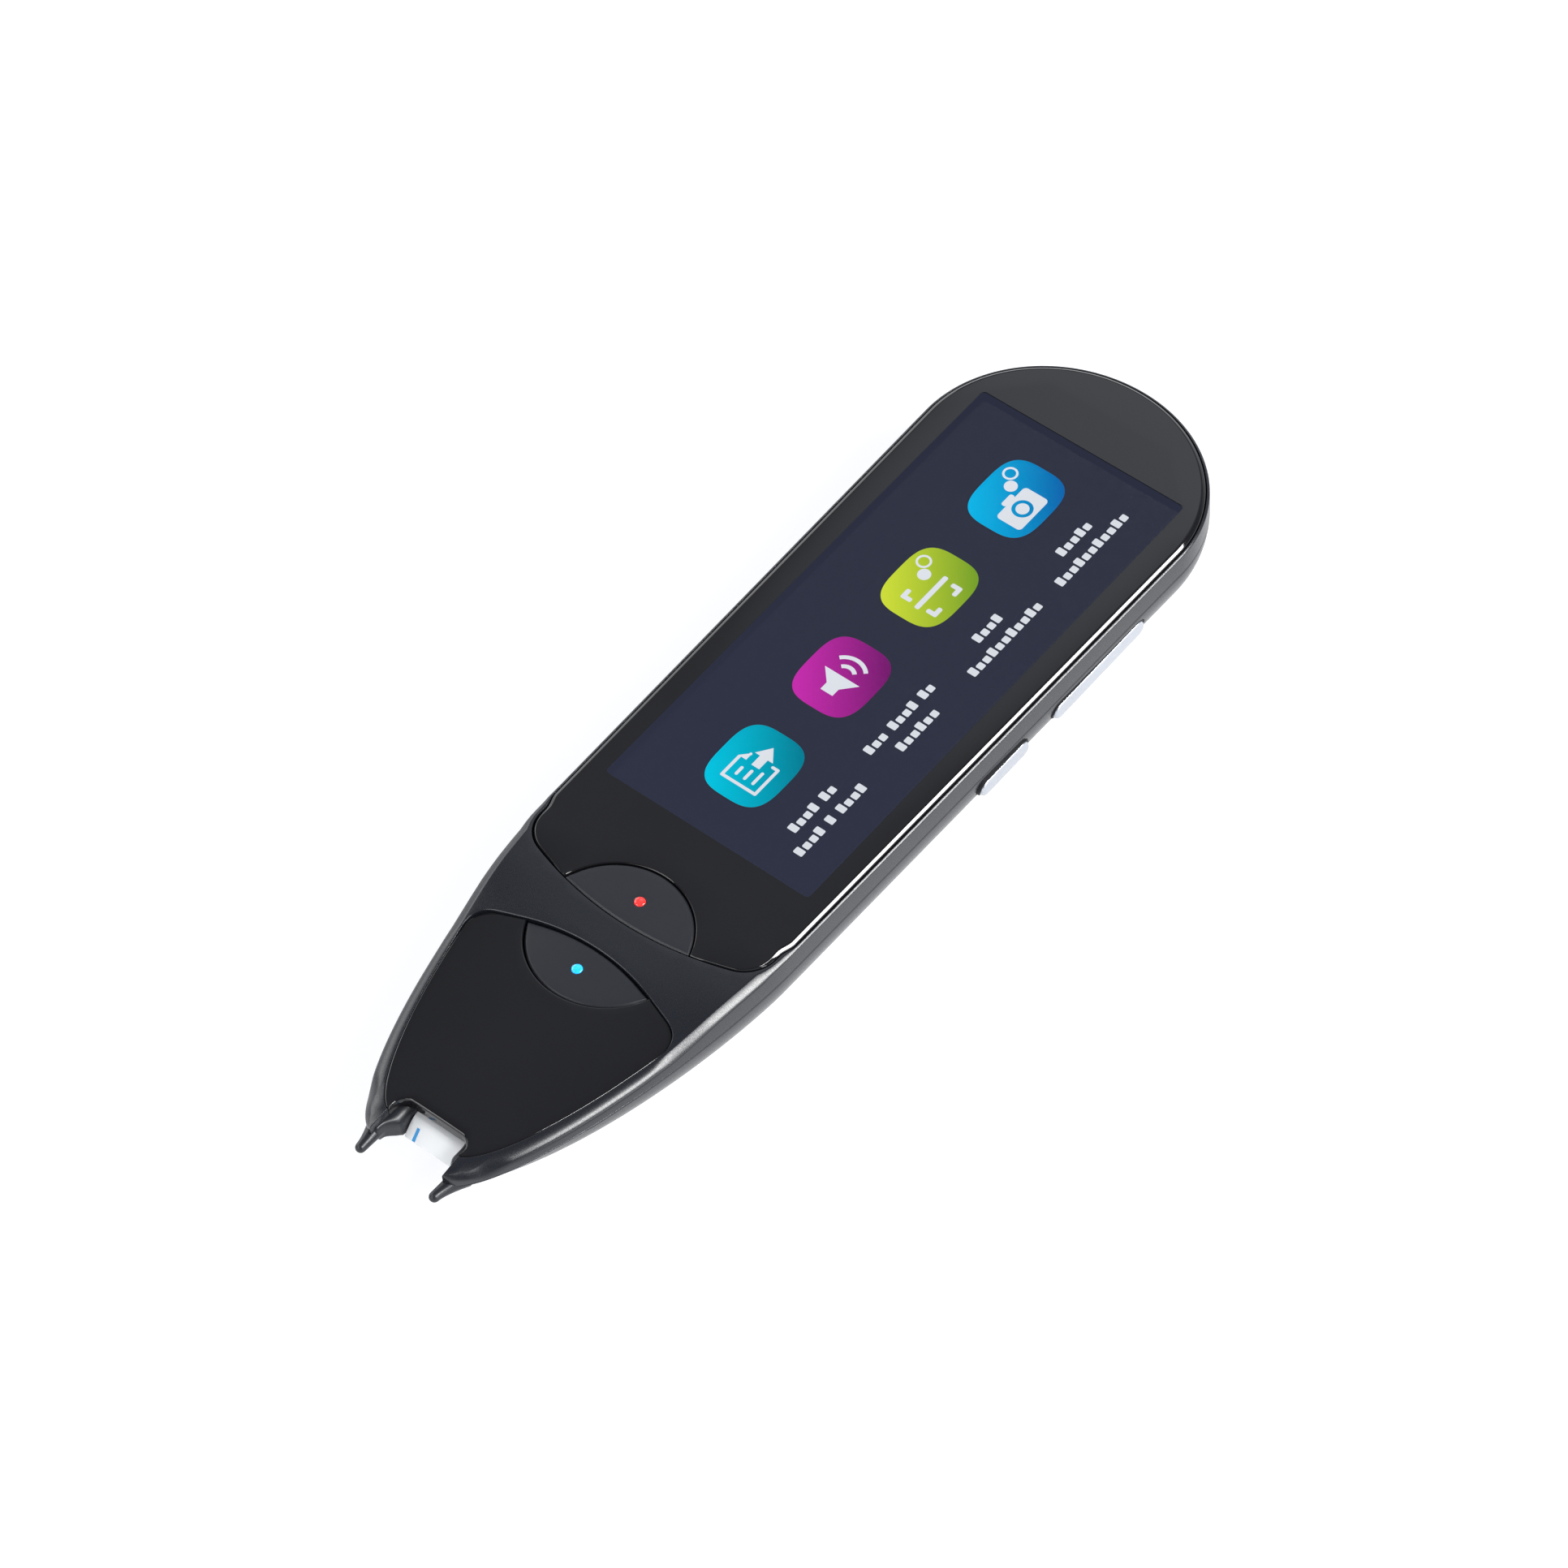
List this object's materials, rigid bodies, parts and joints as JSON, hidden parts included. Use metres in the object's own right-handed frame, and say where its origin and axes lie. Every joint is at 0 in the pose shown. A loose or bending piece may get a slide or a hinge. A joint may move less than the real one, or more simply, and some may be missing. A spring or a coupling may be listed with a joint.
{
  "type": "scanning pen",
  "caption": "Flat pocket scanning pen: long screen under a cover glass, narrowing crowned nose with a scanning mouth between feet, front keys with lamps, side rocker and power key.",
  "frame": {"origin": "on the flat back face that the pen rests on, in the middle of its width", "axes": "+X right when the screen faces the reader and the nose points down, +Y from the nose to the round end, +Z out of the screen"},
  "size_m": [0.0432, 0.1553, 0.013],
  "materials": {
    "shell": "fine matt texture",
    "cover_glass": "gloss, printed black on its back outside the screen",
    "screen": "lit screen",
    "gloss_black": "gloss",
    "key_grey": "satin",
    "side_silver": "satin silver",
    "hood_white": "matt white",
    "mark_blue": "printed",
    "lamp_red": "tinted translucent",
    "lamp_blue": "tinted translucent",
    "clear": "polished",
    "black_plastic": "matt",
    "board_green": "solder resist",
    "steel": "bright",
    "switch_grey": "moulded",
    "battery_foil": "laminated foil",
    "foam": "foam",
    "flex_amber": "film",
    "contact_gold": "plated"
  },
  "bodies": {
    "casing": {"front_shell": "shell", "back_shell": "shell", "front_glass": "cover_glass", "glass_gasket": "foam", "display_panel": "screen", "nose_panel": "gloss_black", "nose_tip": "shell", "light_guide": "hood_white", "aim_mark": "mark_blue", "rocker_pin": "steel", "scan_window": "clear", "scan_holder": "black_plastic", "scan_lens": "clear", "sensor_board": "board_green", "lamp_board": "board_green", "main_board": "board_green", "shield_can": "steel", "key_switches": "switch_grey", "indicator_leds": "switch_grey", "board_screws": "steel", "battery": "battery_foil", "battery_tape": "foam", "speaker": "black_plastic", "speaker_gasket": "foam", "charge_board": "board_green", "usb_socket": "steel", "microphone": "contact_gold", "link_flex": "flex_amber", "side_board": "board_green", "side_switches": "switch_grey"},
    "upper_key": {"upper_button": "key_grey", "red_indicator": "lamp_red"},
    "lower_key": {"lower_button": "key_grey", "blue_indicator": "lamp_blue"},
    "rocker": {"volume_rocker": "side_silver"},
    "power_key": {"power_button": "side_silver"}
  },
  "joints": [
    {"name": "upper_key_press", "type": "slide", "parent": "casing", "child": "upper_key", "axis": [0, 0, -1], "range_m": [0, 0.0004], "stiffness_N_per_m": 1500},
    {"name": "lower_key_press", "type": "slide", "parent": "casing", "child": "lower_key", "axis": [0, 0, -1], "range_m": [0, 0.0004], "stiffness_N_per_m": 1500},
    {"name": "rocker_tilt", "type": "hinge", "parent": "casing", "child": "rocker", "pos_m": [0.01606, 0.04, 0.0063], "axis": [0, 0, 1], "range_deg": [-1.6, 1.6], "stiffness_Nm_per_rad": 0.15},
    {"name": "power_key_press", "type": "slide", "parent": "casing", "child": "power_key", "axis": [-1, 0, 0], "range_m": [0, 0.00035], "stiffness_N_per_m": 1500}
  ]
}
